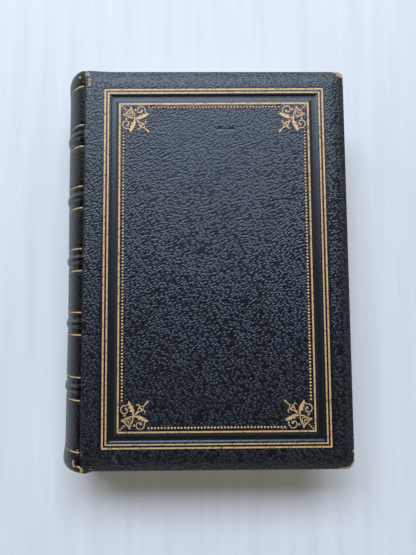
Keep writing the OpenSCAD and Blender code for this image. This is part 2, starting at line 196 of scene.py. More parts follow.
def add(owner, kind, inputs=None, stops=(), **settings):
    """Adds one node to a material or world. Its inputs are linked or filled, by name or number,
    and stops are the places and hex colours of a colour ramp."""
    node = owner.node_tree.nodes.new("ShaderNode" + kind)
    for key, value in settings.items():
        setattr(node, key, value)
    for key, value in (inputs or {}).items():
        if isinstance(value, bpy.types.NodeSocket):
            owner.node_tree.links.new(value, node.inputs[key])
        else:
            node.inputs[key].default_value = value
    for n, (at, hex_value) in enumerate(stops):
        stop = node.color_ramp.elements[n]
        stop.position, stop.color = at, colour(hex_value)
    return node


def finish_material(material, bump=None, **inputs):
    """Ends a material with its principled shader. Underscores in a name stand for spaces."""
    sockets = {key.replace("_", " "): value for key, value in inputs.items()}
    shader = add(material, "BsdfPrincipled", sockets)
    if bump:
        material.node_tree.links.new(bump, shader.inputs["Normal"])
    add(material, "OutputMaterial", {"Surface": shader.outputs[0]})
    print(material.name, "has", len(material.node_tree.nodes), "nodes")
    return material


def per_mm(size):
    """The texture scale at which one cell or wave is size millimetres long."""
    return 1 / (size * MM)


# %% [markdown]
# ## Leather
# The skin is goatskin, dyed blue-black and glazed. Its grain is a field of small pebbles, about
# 1 mm wide and 2 mm long, that lie slantwise, the way the wet skin was pulled. A Voronoi pattern
# makes the pebbles, a fine noise roughens them, and a slow noise bends their rows. Real pebbles
# are a little finer, but smaller ones would blur together in the picture. The light catches the
# pebbles' crowns, and the creases between them carry painted shade: dye and shine are darkened there.
#
# Four numbers are painted on the mesh further on, so that what they say stays in place when a
# cover opens. "pressed" flattens the grain where hot tools went, "worn" shows the tan leather
# under the dye, the third greys the dye and paints pale highlights and glints, and the fourth is
# painted shade: it darkens the dye and takes its shine.

# %% Goatskin
GRAIN_MM, GRIT_MM, PULL_MM = 0.85, 0.7, 9
PATCH_MM, SCUFF_MM = 28, 1.7
PULL = (0.0011, 0.0014, 0.001)
SLANT = math.radians(30)
STRETCH = (2.6, 1.2, 1.1)
GRIT_SHARE = 0.12
GRAIN_DEPTH = 0.00022
WINDOW_BLUE = (0.78, 0.88, 1.0)


def make_goatskin():
    m = new_material("glazed_goatskin")
    where = add(m, "TexCoord").outputs["Object"]
    painted = [add(m, "Attribute", attribute_name=name) for name in ("pressed", "worn", "fade_and_highlight", "painted_shade")]
    pressed, worn, fade_and_highlight, painted_shade = [node.outputs["Fac"] for node in painted]

    # The grain: pebbles and grit on a slanted and slowly bending map
    pull = add(m, "TexNoise", {"Vector": where, "Scale": per_mm(PULL_MM), "Detail": 2.0})
    shift = add(m, "VectorMath", {0: pull.outputs["Color"], 1: PULL}, operation="MULTIPLY")
    pulled = add(m, "VectorMath", {0: where, 1: shift.outputs[0]}, operation="ADD")
    slanted = add(m, "Mapping", {"Vector": pulled.outputs[0], "Rotation": (0, 0, SLANT), "Scale": STRETCH},
                  vector_type="TEXTURE")
    pebble = add(m, "TexVoronoi", {"Vector": slanted.outputs[0], "Scale": per_mm(GRAIN_MM),
                                   "Smoothness": 0.25, "Randomness": 0.72}, feature="SMOOTH_F1")
    pebble_height = add(m, "MapRange", {"Value": pebble.outputs["Distance"], "From Min": 0.0, "From Max": 0.75,
                                        "To Min": 1.0, "To Max": 0.0}, interpolation_type="SMOOTHSTEP")
    grit = add(m, "TexNoise", {"Vector": slanted.outputs[0], "Scale": per_mm(GRIT_MM), "Detail": 2.0})
    grit_height = add(m, "Math", {0: grit.outputs["Fac"], 1: GRIT_SHARE}, operation="MULTIPLY")
    loose_grain = add(m, "Math", {0: pebble_height.outputs[0], 1: grit_height.outputs[0]}, operation="ADD")
    left_loose = add(m, "MapRange", {"Value": pressed, "To Min": 1.0, "To Max": 0.12})
    grain = add(m, "Math", {0: loose_grain.outputs[0], 1: left_loose.outputs[0]}, operation="MULTIPLY")
    bump = add(m, "Bump", {"Height": grain.outputs[0], "Distance": GRAIN_DEPTH, "Strength": 1.0})

    # The dye: blotched, with painted shade in the creases, in the joint and beside the bands, greyed where it
    # lost colour, paler for painted highlights
    patch = add(m, "TexNoise", {"Vector": where, "Scale": per_mm(PATCH_MM), "Detail": 4.0, "Roughness": 0.6})
    dye = add(m, "ValToRGB", {"Fac": patch.outputs["Fac"]}, stops=[(0.3, "#080c14"), (0.7, "#0e1520")])
    # painted shade: the dye darkens in the creases between the pebbles
    crease_shade = add(m, "MapRange", {"Value": grain.outputs[0], "From Min": 0.1, "From Max": 0.8,
                                 "To Min": 0.2, "To Max": 1.3})
    # painted shade in the joint and beside the bands: less colour and less shine
    unshaded = add(m, "MapRange", {"Value": painted_shade, "To Min": 1.0, "To Max": 0.05})
    depth = add(m, "Math", {0: crease_shade.outputs[0], 1: unshaded.outputs[0]}, operation="MULTIPLY")
    shaded_dye = add(m, "VectorMath", {0: dye.outputs[0], "Scale": depth.outputs[0]}, operation="SCALE")
    scuff = add(m, "TexNoise", {"Vector": where, "Scale": per_mm(SCUFF_MM), "Detail": 5.0, "Roughness": 0.65})
    # greyed dye where the colour is lost, and pale painted highlights and glints
    grey_fade_and_highlight = add(m, "Math", {0: fade_and_highlight, 1: scuff.outputs["Fac"]}, operation="MULTIPLY")
    base = add(m, "Mix", {0: grey_fade_and_highlight.outputs[0], 6: shaded_dye.outputs[0], 7: colour("#6b645c")}, data_type="RGBA")

    # The tan leather under the dye, with an edge that the scuffs break up
    rubbed = add(m, "Math", {0: worn, 1: scuff.outputs["Fac"]}, operation="ADD")
    bare = add(m, "MapRange", {"Value": rubbed.outputs[0], "From Min": 0.98, "From Max": 1.1})
    tan = add(m, "ValToRGB", {"Fac": scuff.outputs["Fac"]}, stops=[(0.35, "#8f6a3c"), (0.7, "#d8b67e")])
    skin = add(m, "Mix", {0: bare.outputs[0], 6: base.outputs[2], 7: tan.outputs[0]}, data_type="RGBA")

    # The glaze: it shines on the pebbles' crowns, with painted shade on its shine in the creases and the joint;
    # tooled leather shines fully, and bare leather is dull
    # painted shade on the shine: it is tinted down in the creases between the pebbles
    crease_shade_on_sheen = add(m, "MapRange", {"Value": grain.outputs[0], "From Min": 0.1, "From Max": 0.5,
                               "To Min": 0.68, "To Max": 1.0})
    open_skin = add(m, "Math", {0: crease_shade_on_sheen.outputs[0], 1: pressed}, operation="MAXIMUM")
    lit = add(m, "Math", {0: open_skin.outputs[0], 1: unshaded.outputs[0]}, operation="MULTIPLY")
    shine = add(m, "VectorMath", {0: WINDOW_BLUE, "Scale": lit.outputs[0]}, operation="SCALE")
    gloss = add(m, "MapRange", {"Value": bare.outputs[0], "To Min": 0.4, "To Max": 0.85})
    return finish_material(m, bump.outputs[0], Base_Color=skin.outputs[2], Roughness=gloss.outputs[0],
                           Specular_IOR_Level=0.79, Specular_Tint=shine.outputs[0])


goatskin = make_goatskin()

# %% [markdown]
# ## Gold leaf
# The lines and ornaments are gold leaf, pressed in with a hot brass tool. Leaf is metal, but it
# lies on grain and has been handled for a century, so it is satin, uneven in tone, and broken here
# and there, where the dark skin shows through. A piece that carries the number "worn", as the lines
# over the spine do, loses more of its gold where that number is high.

# %% Gold leaf
RUB_MM = 1.3


def make_gold():
    m = new_material("tooled_gold_leaf")
    where = add(m, "TexCoord").outputs["Object"]
    rub = add(m, "TexNoise", {"Vector": where, "Scale": per_mm(RUB_MM), "Detail": 3.0, "Roughness": 0.7})
    worn = add(m, "Attribute", attribute_name="worn")
    kept = add(m, "Math", {0: rub.outputs["Fac"], 1: worn.outputs["Fac"]}, operation="SUBTRACT")
    tone = add(m, "ValToRGB", {"Fac": kept.outputs[0]}, stops=[(0.3, "#5f4a2e"), (0.48, "#dcb584")])
    bump = add(m, "Bump", {"Height": rub.outputs["Fac"], "Distance": 0.0001, "Strength": 0.5})
    return finish_material(m, bump.outputs[0], Base_Color=tone.outputs[0], Metallic=0.3, Roughness=0.6)


gold = make_gold()

# %% [markdown]
# ## Paper, board, cloth and thread
# The leaves are rag paper gone cream at the edges. Seen from the side they are a stack of fine
# lines, finer than the render can show, so the lines are drawn as groups of leaves. The endpapers
# are the same paper with a little foxing and laid lines, the boards are grey rolled millboard, the
# cloth is an open cotton weave, and the headbands are silk in two colours.

# %% Paper and cloth
LEAF_LINES_MM, FOXING_MM, LAID_MM = 0.5, 9, 2.2
WAVE_UNITS = 2 / 6.3  # a Wave node's bands lie about this far apart at scale 1


def make_leaf_edges():
    m = new_material("rag_paper_leaf_edges")
    where = add(m, "TexCoord").outputs["Object"]
    flat = add(m, "Mapping", {"Vector": where, "Scale": (0.02, 0.02, 1.0)})
    leaves = add(m, "TexNoise", {"Vector": flat.outputs[0], "Scale": per_mm(LEAF_LINES_MM), "Detail": 3.0,
                                 "Roughness": 0.7})
    tone = add(m, "ValToRGB", {"Fac": leaves.outputs["Fac"]}, stops=[(0.35, "#b8a27c"), (0.62, "#ebe0c6")])
    bump = add(m, "Bump", {"Height": leaves.outputs["Fac"], "Distance": 0.0002, "Strength": 0.6})
    return finish_material(m, bump.outputs[0], Base_Color=tone.outputs[0], Roughness=0.85)


def make_endpaper():
    m = new_material("laid_endpaper")
    where = add(m, "TexCoord").outputs["Object"]
    foxing = add(m, "TexNoise", {"Vector": where, "Scale": per_mm(FOXING_MM), "Detail": 6.0, "Roughness": 0.75})
    tone = add(m, "ValToRGB", {"Fac": foxing.outputs["Fac"]}, stops=[(0.3, "#cbb68d"), (0.55, "#e3d7b9")])
    laid = add(m, "TexWave", {"Vector": where, "Scale": per_mm(LAID_MM) * WAVE_UNITS, "Distortion": 0.4},
               bands_direction="Y")
    bump = add(m, "Bump", {"Height": laid.outputs["Fac"], "Distance": 0.00003, "Strength": 0.4})
    return finish_material(m, bump.outputs[0], Base_Color=tone.outputs[0], Roughness=0.9)


def make_speckled(name, dark, light, fibre_mm, roughness):
    """Board, cloth and thread are all short fibres, so they differ only in colour and size."""
    m = new_material(name)
    where = add(m, "TexCoord").outputs["Object"]
    fibre = add(m, "TexNoise", {"Vector": where, "Scale": per_mm(fibre_mm), "Detail": 4.0})
    tone = add(m, "ValToRGB", {"Fac": fibre.outputs["Fac"]}, stops=[(0.3, dark), (0.7, light)])
    bump = add(m, "Bump", {"Height": fibre.outputs["Fac"], "Distance": 0.0001, "Strength": 0.5})
    return finish_material(m, bump.outputs[0], Base_Color=tone.outputs[0], Roughness=roughness)


leaf_edges = make_leaf_edges()
endpaper = make_endpaper()
millboard = make_speckled("rolled_millboard", "#77705f", "#9a927e", 0.8, 0.9)
cotton = make_speckled("cotton_mull", "#b3a88f", "#dcd3bf", 0.5, 0.95)
silk_dark = make_speckled("madder_silk", "#6f2620", "#9c4036", 0.3, 0.5)
silk_light = make_speckled("undyed_silk", "#c4ab78", "#e6d4a6", 0.3, 0.5)

# %% [markdown]
# ## The skin as a drawn sheet
# The binder covers a book with one sheet of pared leather, drawn wet over the front board, round
# the spine and over the rear board. The front cover, its joint and the spine are one sheet here
# too, so that no seam shows. It is a grid whose lines are laid where the tools will press, because
# a crease in a mesh is only as sharp as its lines are close. First come the lines of the grid, as
# distances from the board's edges, from the tooled frame, and from the bands of the spine.

# %% Lines of the grid
EDGE_LINES = [0, 0.35, 0.9, 1.7, 2.7, 4.0, 5.4, 7.0]
TOOL_LINES = [-0.56, -0.42, 0.42, 0.56, 1.4, 1.53, 2.27, 2.4, 2.9, 3.15, 3.4, 3.7, 4.0, 4.4, 5.2, 6.0, 6.3, 6.6,
              6.9, 7.2, 7.5, 7.85, 7.98, 8.82, 8.96, 9.85, 10.0, 11.2, 11.35, 12.4]
BAND_LINES = [0, 0.8, 1.5, 2.1, 2.6, 3.25, 3.6, 3.95, 5.68, 5.82, 6.58, 6.72]
LINE_ROWS = [-0.52, -0.38, 0.38, 0.52]
DENT_ROWS = [75.6, 76.1, 76.6, 77.1, 77.6, 78.1, 78.6, 79.2]
DENT_COLUMNS = [7.0, 7.9, 8.8, 9.7, 10.6, 11.5, 12.6, 13.8, 14.7, 15.6, 16.5, 17.4, 18.3, 19.2]
JOINT_SIDE = 3.2
PANEL_STEP = 2.8
NEAR_DOUBLE = 0.1
FIRST_BAND, BAND_PITCH, BAND_COUNT = 37.8, 35.5, 5
BANDS_Y = [HALF_H - FIRST_BAND - BAND_PITCH * n for n in range(BAND_COUNT)]
HEAD_LINE_Y = HALF_H - 9
TAIL_LINE_Y = 10.6 - HALF_H


def fill_in(lines, step):
    """Sorts the lines, drops near doubles, and fills wider gaps than step with even lines."""
    lines = sorted(lines)
    kept = [lines[0]]
    for line in lines[1:]:
        if line - kept[-1] < NEAR_DOUBLE:
            continue
        parts = math.ceil((line - kept[-1]) / step)
        start = kept[-1]
        kept += [start + (line - start) * n / parts for n in range(1, parts + 1)]
    return kept


rows = [side * (HALF_H - e) for side in (-1, 1) for e in EDGE_LINES]
rows += [FRAME_Y0 + d for d in TOOL_LINES] + [FRAME_Y1 - d for d in TOOL_LINES]
rows += DENT_ROWS
plain_rows = fill_in(rows, PANEL_STEP)
rows += [y + side * d for y in BANDS_Y for side in (-1, 1) for d in BAND_LINES]
rows += [y + d for y in (HEAD_LINE_Y, TAIL_LINE_Y) for d in LINE_ROWS]
spine_rows = fill_in(rows, PANEL_STEP)
columns = [FORE_X - e for e in EDGE_LINES] + [FRAME_X1 - d for d in TOOL_LINES]
columns += [FRAME_X0 + d for d in TOOL_LINES] + DENT_COLUMNS + [HINGE_X + JOINT_SIDE]
cover_columns = fill_in(columns, PANEL_STEP)[::-1]
print(len(spine_rows), "rows and", len(cover_columns), "columns on the cover")

# %% [markdown]
# ## The section across the joint and spine
# Across the book, the sheet runs flat over the board, dips into the joint, and goes round the
# spine. The joint is a shallow valley: the leather there is thin and was rubbed down with a bone
# folder. The board's edge stands up beside it as a low ridge. Each column of the grid gets a point
# and an outward direction on this section, and a share that says how far it belongs to the cover.

# %% Section
JOINT_COLUMNS = [2.4, 1.7, 1.1, 0.6, 0.2, -0.2, -0.6, -1.0, -1.5, -2.1, -2.8, -3.5]
JOINT_END = -1.5
VALLEY, VALLEY_FRONT, VALLEY_BACK = 0.42, (0.35, -0.8), (-2.6, -1.1)
RIDGE, RIDGE_AT, RIDGE_REACH = 0.16, 0.75, 0.6
COVER_EASE = (-1.2, 1.6)
ROUND_FROM = 4.2
SPINE_STEPS = 32


def smoothstep(low, high, value):
    t = np.clip((np.asarray(value, float) - low) / (high - low), 0, 1)
    return t * t * (3 - 2 * t)


def joint_z(a):
    """Height of the section at the distance a from the hinge line, towards the fore-edge."""
    dx = np.minimum(HINGE_X + a - SPINE_X, -1.0)
    round_z = np.where(a < -JOINT_LAND, MID_Z + np.sqrt(SPINE_R ** 2 - dx ** 2), BOOK_T)
    valley = VALLEY * smoothstep(*VALLEY_FRONT, a) * smoothstep(*VALLEY_BACK, a)
    ridge = RIDGE * np.exp(-((a - RIDGE_AT) / RIDGE_REACH) ** 2)
    return round_z - valley + ridge


def cover_share(x):
    """1 on the cover and 0 on the spine."""
    return smoothstep(*COVER_EASE, x - HINGE_X)


first_angle = math.acos((SPINE_X - HINGE_X + ROUND_FROM) / SPINE_R)
angles = np.linspace(first_angle, -first_angle, SPINE_STEPS)
section = [(x, BOOK_T) for x in cover_columns]
section += [(HINGE_X + a, float(joint_z(a))) for a in JOINT_COLUMNS]
section += [(SPINE_X - SPINE_R * math.cos(t), MID_Z + SPINE_R * math.sin(t)) for t in angles]
section += [(HINGE_X + a, BOOK_T - float(joint_z(a))) for a in JOINT_COLUMNS[::-1] if a <= JOINT_END]
section = np.array(section)
along = np.gradient(section, axis=0)
along /= np.linalg.norm(along, axis=1)[:, None]
outward = np.stack([along[:, 1], -along[:, 0]], axis=1)
on_cover = cover_share(section[:, 0])
print(len(section), "columns in the whole section")

# %% [markdown]
# ## What the tools press into the cover
# Seen along one side, the frame is a set of grooves at fixed distances inside its outer line: two
# fillets, a hollow moulding, an inner fillet, and the track of the pearls. The distance to the
# nearest side of the frame gives all four sides and their mitred corners at once. The cushioned
# bevel falls away towards the board's edges along an arc. Inside the frame the leather is a little
# uneven, as hand-pared leather is, and near the head it has two small dents side by side.

# %% Measures of the tools and the board
GROOVE = 0.28
GROOVE_LIP, GROOVE_WALL = 0.1, 0.14
MOULDING = (2.9, 7.6, 0.5)
MOULDING_WALL = 1.4
FILLETS = [(0.0, 0.9), (1.9, 0.8), (8.4, 0.9)]
PEARL_ROW, PEARL_TRACK_W, PEARL_TRACK = 10.6, 1.3, 0.2
PEARL_CLEAR = 14.0
BEVEL_W, BEVEL_DROP = 9.5, 2.2
BEVEL_R = (BEVEL_W ** 2 + BEVEL_DROP ** 2) / (2 * BEVEL_DROP)
BEVEL_CORNER, BEVEL_LIMIT = 5, 1.08
WAVE, WAVE_TOP = 0.05, 1.4
WAVES_INSIDE, WAVES_PAST_FLEURON = (11.5, 14), (28, 34)
DENTS = [(9.9, 77.4, 1.8, 0.95), (16.3, 77.2, 2.0, 1.0)]
DENT_DEPTH = 0.3
DENT_LIP, DENT_LIP_AT, DENT_LIP_REACH = 0.06, 1.6, 0.8
print("the frame is", round(FRAME_X1 - FRAME_X0, 1), "x", round(FRAME_Y1 - FRAME_Y0, 1), "mm")


# %% Height of the covers
def groove(distance, width, depth):
    """A flat-bottomed groove whose walls slope over 0.14 mm."""
    return -depth * np.clip((width / 2 + GROOVE_LIP - np.abs(distance)) / GROOVE_WALL, 0, 1)


def soft_spot(x, y, at_x, at_y, reach_x, reach_y):
    """1 in the middle of an oval spot, falling to 0 round it."""
    return np.exp(-(((x - at_x) / reach_x) ** 2 + ((y - at_y) / reach_y) ** 2) ** 1.5)


def from_sides(x, y):
    """Distances inwards from the tooled frame's upright sides, and from its level ones."""
    return np.minimum(x - FRAME_X0, FRAME_X1 - x), np.minimum(y - FRAME_Y0, FRAME_Y1 - y)


def inside_frame(x, y):
    """Distance inwards from the nearest side of the frame."""
    return np.minimum(*from_sides(x, y))


def tooling(x, y, pearls):
    """The grooves, the moulding and, on the front cover, the track of the pearls."""
    d = inside_frame(x, y)
    height = sum(groove(d - at, width, GROOVE) for at, width in FILLETS)
    low, high, depth = MOULDING
    height = height - depth * smoothstep(0, MOULDING_WALL, d - low) * smoothstep(0, MOULDING_WALL, high - d)
    if pearls:
        past_fleuron = np.maximum(*from_sides(x, y)) > PEARL_CLEAR + PEARL_ROW
        height = height + np.where(past_fleuron, groove(d - PEARL_ROW, PEARL_TRACK_W, PEARL_TRACK), 0)
    return height


def bevel(x, y):
    """How far the cushioned edge falls away. At a corner both edges share one rounded fall."""
    across = np.clip(BEVEL_W - (FORE_X - x), 0, None)
    up = np.clip(BEVEL_W - (HALF_H - np.abs(y)), 0, None)
    both = (across ** BEVEL_CORNER + up ** BEVEL_CORNER) ** (1 / BEVEL_CORNER)
    return np.sqrt(BEVEL_R ** 2 - np.minimum(both, BEVEL_W * BEVEL_LIMIT) ** 2) - BEVEL_R


def waves(x, y):
    """The slow unevenness of the leather. It only sinks, so that it never passes the board's plane."""
    slow = np.sin(0.11 * x + 0.07 * y + 1.3) * np.sin(0.05 * x - 0.13 * y)
    return WAVE * (slow + np.sin(0.23 * x - 0.19 * y + 0.4) * 0.4 - WAVE_TOP)


def cover_height(x, y, pearls):
    past_fleuron = smoothstep(*WAVES_PAST_FLEURON, np.maximum(*from_sides(x, y)))
    uneven = smoothstep(*WAVES_INSIDE, inside_frame(x, y)) * past_fleuron
    height = bevel(x, y) + tooling(x, y, pearls) + waves(x, y) * uneven
    if pearls:
        for at_x, at_y, reach_x, reach_y in DENTS:
            height = height - DENT_DEPTH * soft_spot(x, y, at_x, at_y, reach_x, reach_y)
            height = height + DENT_LIP * soft_spot(x, y, at_x, at_y - DENT_LIP_AT, reach_x, DENT_LIP_REACH)
    return height


bevel_at_edge = float(bevel(np.array([FORE_X]), np.array([0.0]))[0])
print(f"the bevel falls {-bevel_at_edge:.2f} mm at the fore-edge")

# %% [markdown]
# ## What lies under the spine's leather
# The leather is moulded wet over the raised bands with a pair of band nippers, which leaves a blind
# groove and a soft lip on both sides of each band. Beside that a gilt line has its own groove. The
# spine is a little hollow in the middle of its length, swells towards the caps, and rounds off
# over them. Each form is a bump or a groove along the spine, and their sum is the height.

# %% Height of the spine
BAND_PROUD, BAND_HALF = 0.7, 2.7
BAND_ROUND, BAND_FULLER, BAND_FULL = 1.1, 0.8, (0.85, 0.97)
BLIND_DEPTH, BLIND_AT, BLIND_REACH, BLIND_END = 0.34, 3.5, 0.55, (0.96, 0.88)
LIP_PROUD, LIP_AT, LIP_REACH = 0.12, 4.6, 0.5
SPINE_LINE_AT, SPINE_GROOVE_W, SPINE_GROOVE = 6.2, 0.75, 0.2
HEAD_SWELL, TAIL_SWELL = (0.7, 7), (1.6, 8)
BOW, BOW_AT, BOW_REACH, BOW_END = 0.4, -18, 42, (0.85, 0.6)
CAP_REACH, HEAD_ROUND, TAIL_ROUND = 6.0, 3.6, 5.0


def spine_height(x, z, y):
    """Height over the section. towards_joint is 0 at the back of the spine and 1 at the joints."""
    towards_joint = np.abs(z - MID_Z) / MID_Z
    fullness = BAND_ROUND - BAND_FULLER * smoothstep(*BAND_FULL, towards_joint)
    blind = BLIND_DEPTH * smoothstep(*BLIND_END, towards_joint)
    height = np.zeros_like(y)
    for band in BANDS_Y:
        d = np.abs(y - band)
        height = height + BAND_PROUD * np.cos(np.clip(d / BAND_HALF, 0, 1) * math.pi / 2) ** fullness
        height = height - blind * np.exp(-((d - BLIND_AT) / BLIND_REACH) ** 2)
        height = height + LIP_PROUD * np.exp(-((d - LIP_AT) / LIP_REACH) ** 2)
        height = height + groove(d - SPINE_LINE_AT, SPINE_GROOVE_W, SPINE_GROOVE)
    for line in (HEAD_LINE_Y, TAIL_LINE_Y):
        height = height + groove(y - line, SPINE_GROOVE_W, SPINE_GROOVE)
    height = height - BOW * np.exp(-((y - BOW_AT) / BOW_REACH) ** 2) * smoothstep(*BOW_END, towards_joint)
    ends = [(HALF_H - y, HEAD_SWELL, HEAD_ROUND), (HALF_H + y, TAIL_SWELL, TAIL_ROUND)]
    for past, (swell, reach), rounding in ends:
        t = np.clip(1 - past / CAP_REACH, 0, 1)
        height = height + swell * np.exp(-(past / reach) ** 2) - rounding * (1 - np.sqrt(1 - t ** 2))
    return height


print(len(BANDS_Y), "bands, from y", round(BANDS_Y[-1], 1), "to", round(BANDS_Y[0], 1), "mm")

# %% [markdown]
# ## Drawing the sheet over the book
# A grid primitive gets one vertex for each crossing of the lines. Every vertex is then laid on the
# section and pushed out or in by the height there. At head and tail the leather swells past the
# board where it turns over the caps, and the corners at the fore-edge are rounded by handling.

# %% Draw a sheet
HEAD_PUFF, HEAD_FALL = 0.4, 0.7
CAP_HEAD, CAP_TAIL = 0.7, 1.1
CAP_SPREAD, CAP_END, CAP_EASE, CAP_SWELL = 9, 3.4, 1.4, 0.7
CORNER_HEAD, CORNER_TAIL = 3.3, 4.4
EASE_IN = 8
SINK = 0.08


def round_corner(x, y):
    """Pulls the square corners at the fore-edge in to a round."""
    corner_r = np.where(y > 0, CORNER_HEAD, CORNER_TAIL)
    u = np.clip((x - FORE_X + corner_r) / corner_r, 0, 1)
    v = np.clip((np.abs(y) - HALF_H + corner_r) / corner_r, 0, 1)
    x = x - corner_r * (u - u * np.sqrt(1 - v ** 2 / 2))
    y = y - np.sign(y) * corner_r * (v - v * np.sqrt(1 - u ** 2 / 2))
    return x, y


def past_board(x, y):
    """How far the leather stands past the boards at head and tail: it swells over the caps."""
    past_joint = np.clip(x - HINGE_X, 0, None)
    near_head = np.exp(-(past_joint / CAP_SPREAD) ** 2)
    near_tail = smoothstep(CAP_END + CAP_EASE, CAP_END - CAP_EASE, past_joint)
    swell = CAP_SWELL * smoothstep(0, 5, HINGE_X - x)
    puff = HEAD_PUFF - HEAD_FALL * past_joint / (FORE_X - HINGE_X)
    return np.where(y > 0, puff + CAP_HEAD * near_head + swell, CAP_TAIL * near_tail)


def draw_sheet(name, columns, rows, pearls):
    """Lays a grid over the chosen columns of the section, and gives it its relief."""
    sheet, column, row = flat_grid(name, len(columns), len(rows))
    i = columns[len(columns) - 1 - column]
    point, normal, share = section[i], outward[i], on_cover[i]
    x, z = point[:, 0], point[:, 1]
    y = np.array(rows)[row]
    height = share * cover_height(x, y, pearls) + (1 - share) * spine_height(x, z, y)
    y_laid = y + np.sign(y) * past_board(x, y) * smoothstep(HALF_H - EASE_IN, HALF_H, np.abs(y))
    x_laid, y_laid = round_corner(x, y_laid)
    z_laid = np.maximum(z + normal[:, 1] * height, -SINK)
    place_mm(sheet, np.stack([x_laid + normal[:, 0] * height, y_laid, z_laid], axis=1))
    return sheet


skin = draw_sheet("front_and_spine_leather", np.arange(len(section)), spine_rows, pearls=True)
print(skin.name, "is drawn with", len(skin.data.vertices), "vertices")

# %% [markdown]
# ## Turning the edges in
# The open edges are extruded in steps: down the board's edge, round its corner and in over its
# inner face as the turn-in, and on the spine inwards as the cap. Each turn below says how far the
# edge is inset over the cover, what share of the way down it has come, and how far inwards it
# steps on the spine. Merging the vertices that meet closes the mitred corners, and Solidify gives
# the sheet the thickness of pared leather.

# %% Turn the edges in
TURNS = [(0.0, 0.5, 0.7), (0.0, 0.93, 1.2), (0.35, 1.0, 0.8), (3.0, 1.0, 0.6), (16.0, 1.0, 0.3)]


def turned(points, inset, down, cap):
    """Where the open edge goes in one turn: inset over a cover, radially inwards on the spine."""
    x, y, z = points.T
    share = np.where(z > MID_Z, cover_share(x), 0)
    cover_x = np.minimum(x, FORE_X - inset)
    cover_y = np.sign(y) * np.minimum(np.abs(y), HALF_H + past_board(x, y) - inset)
    edge_z = np.where(z > INNER_Z, z, INNER_Z)
    cover_z = edge_z + (INNER_Z - edge_z) * down
    step = cap / np.maximum(np.hypot(x - SPINE_X, z - MID_Z), 1)
    spine_x = x - (x - SPINE_X) * step
    spine_z = z - (z - MID_Z) * step
    return np.stack([spine_x + (cover_x - spine_x) * share, y + (cover_y - y) * share,
                     spine_z + (cover_z - spine_z) * share], axis=1)


def turn_edges(sheet, column_count, row_count):
    """Extrudes the edges at head, tail and fore-edge once for each turn."""
    bpy.ops.object.mode_set(mode="EDIT")
    bpy.ops.mesh.select_mode(type="VERT")
    bpy.ops.mesh.select_all(action="DESELECT")
    bpy.ops.object.mode_set(mode="OBJECT")
    for vertex in sheet.data.vertices:
        row, column = divmod(vertex.index, column_count)
        vertex.select = row in (0, row_count - 1) or column == column_count - 1
    bpy.ops.object.mode_set(mode="EDIT")
    for inset, down, cap in TURNS:
        bpy.ops.mesh.extrude_edges_move()
        bpy.ops.object.mode_set(mode="OBJECT")
        points = points_mm(sheet)
        moved = np.array([v.select for v in sheet.data.vertices])
        points[moved] = turned(points[moved], inset, down, cap)
        place_mm(sheet, points)
        bpy.ops.object.mode_set(mode="EDIT")
    bpy.ops.mesh.select_all(action="SELECT")
    bpy.ops.mesh.remove_doubles(threshold=0.02 * MM)
    bpy.ops.mesh.dissolve_degenerate(threshold=0.01 * MM)
    bpy.ops.mesh.normals_make_consistent(inside=False)
    bpy.ops.object.mode_set(mode="OBJECT")


turn_edges(skin, len(section), len(spine_rows))
thicken(skin, LEATHER_T)
smooth(skin, 50)
print(skin.name, len(skin.data.polygons), "faces")

# %% [markdown]
# ## The rear cover
# The rear cover is the same sheet drawn over the other board, so the same steps make it, up to the
# joint and without the pearls and dents, and it is turned over. Turning it over points its faces
# inwards, so they are flipped before the sheet gets its thickness. The book lies on this cover, so
# nothing of it may sink into the table.

# %% Rear leather
joint_kept = sum(a >= JOINT_END for a in JOINT_COLUMNS)
rear_columns = np.arange(len(cover_columns) + joint_kept)
rear_skin = draw_sheet("rear_leather", rear_columns, plain_rows, pearls=False)
turn_edges(rear_skin, len(rear_columns), len(plain_rows))
points = points_mm(rear_skin)
points[:, 2] = np.maximum(BOOK_T - points[:, 2], -SINK)
place_mm(rear_skin, points)
with whole_mesh():
    bpy.ops.mesh.flip_normals()
thicken(rear_skin, LEATHER_T)
smooth(rear_skin, 50)
print(rear_skin.name, len(rear_skin.data.polygons), "faces")

# %% [markdown]
# ## Pressed and rubbed places
# Four numbers are painted on every vertex of the leather. "pressed" is 1 where a tool flattened
# the grain, and part of that on the back of the spine, which hands have polished. "worn" is high
# where the dye has been rubbed away: the corners, the top and bottom of the joint, and the caps,
# which take the knocks when a book stands on a shelf. The third greys the spine, which faces the
# light on a shelf, and paints pale highlights on the edges of its bands and pale glints on a few
# scratches. The fourth is painted shade in the joint, where the spine's shoulder turns from the
# light, and on the bands and in the hollows beside them. Each single spot has a middle, two radii
# and a strength, and the material's noise breaks its edge up.

